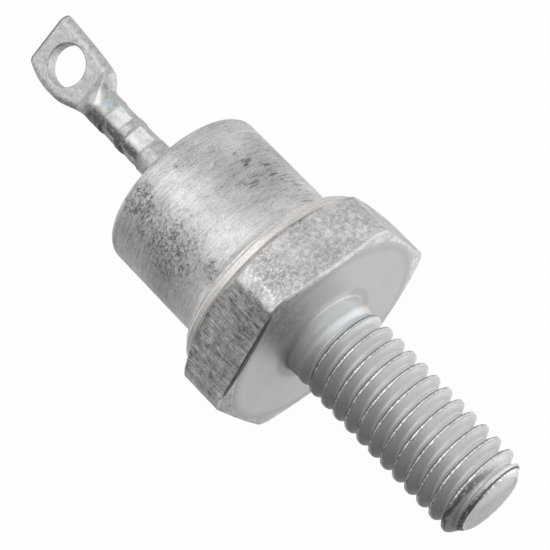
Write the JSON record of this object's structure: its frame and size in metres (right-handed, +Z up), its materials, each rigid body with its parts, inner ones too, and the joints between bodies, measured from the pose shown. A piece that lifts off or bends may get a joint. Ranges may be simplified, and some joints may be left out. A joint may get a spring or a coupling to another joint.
{
  "type": "stud-mount rectifier diode",
  "caption": "Rectifier diode in a sealed metal case with a hexagon base, a threaded stud that screws into a heat sink, and a crimped solder terminal with a flat pierced eye.",
  "frame": {"origin": "centre of the seating face, on the stud's axis", "axes": "+X along the threaded stud, away from the hexagon; +Z up, square to the hexagon flat that the part lies under; the part lies on the opposite flat"},
  "size_m": [0.0316, 0.0124, 0.0112],
  "materials": {
    "plated_base": "dull tin plate over copper, stained and scratched",
    "plated_ring": "bright plated weld ring",
    "plated_cap": "dull plated drawn steel with fine marks round the axis",
    "seal_glass": "dark fused sealing glass",
    "plated_terminal": "dull plated tube with bright pressed panels",
    "copper_lead": "drawn copper",
    "solder": "soft solder",
    "molybdenum": "lapped metal disc",
    "silicon": "polished semiconductor",
    "silicone_rubber": "cured silicone bead"
  },
  "bodies": {
    "root": {"hex_base": "plated_base", "weld_ring": "plated_ring", "cap": "plated_cap", "glass_seal": "seal_glass", "terminal": "plated_terminal", "inner_lead": "copper_lead", "lead_solder": "solder", "contact_disc": "molybdenum", "contact_solder": "solder", "silicon_die": "silicon", "junction_bead": "silicone_rubber", "die_solder": "solder", "expansion_plate": "molybdenum", "base_solder": "solder"}
  },
  "joints": []
}
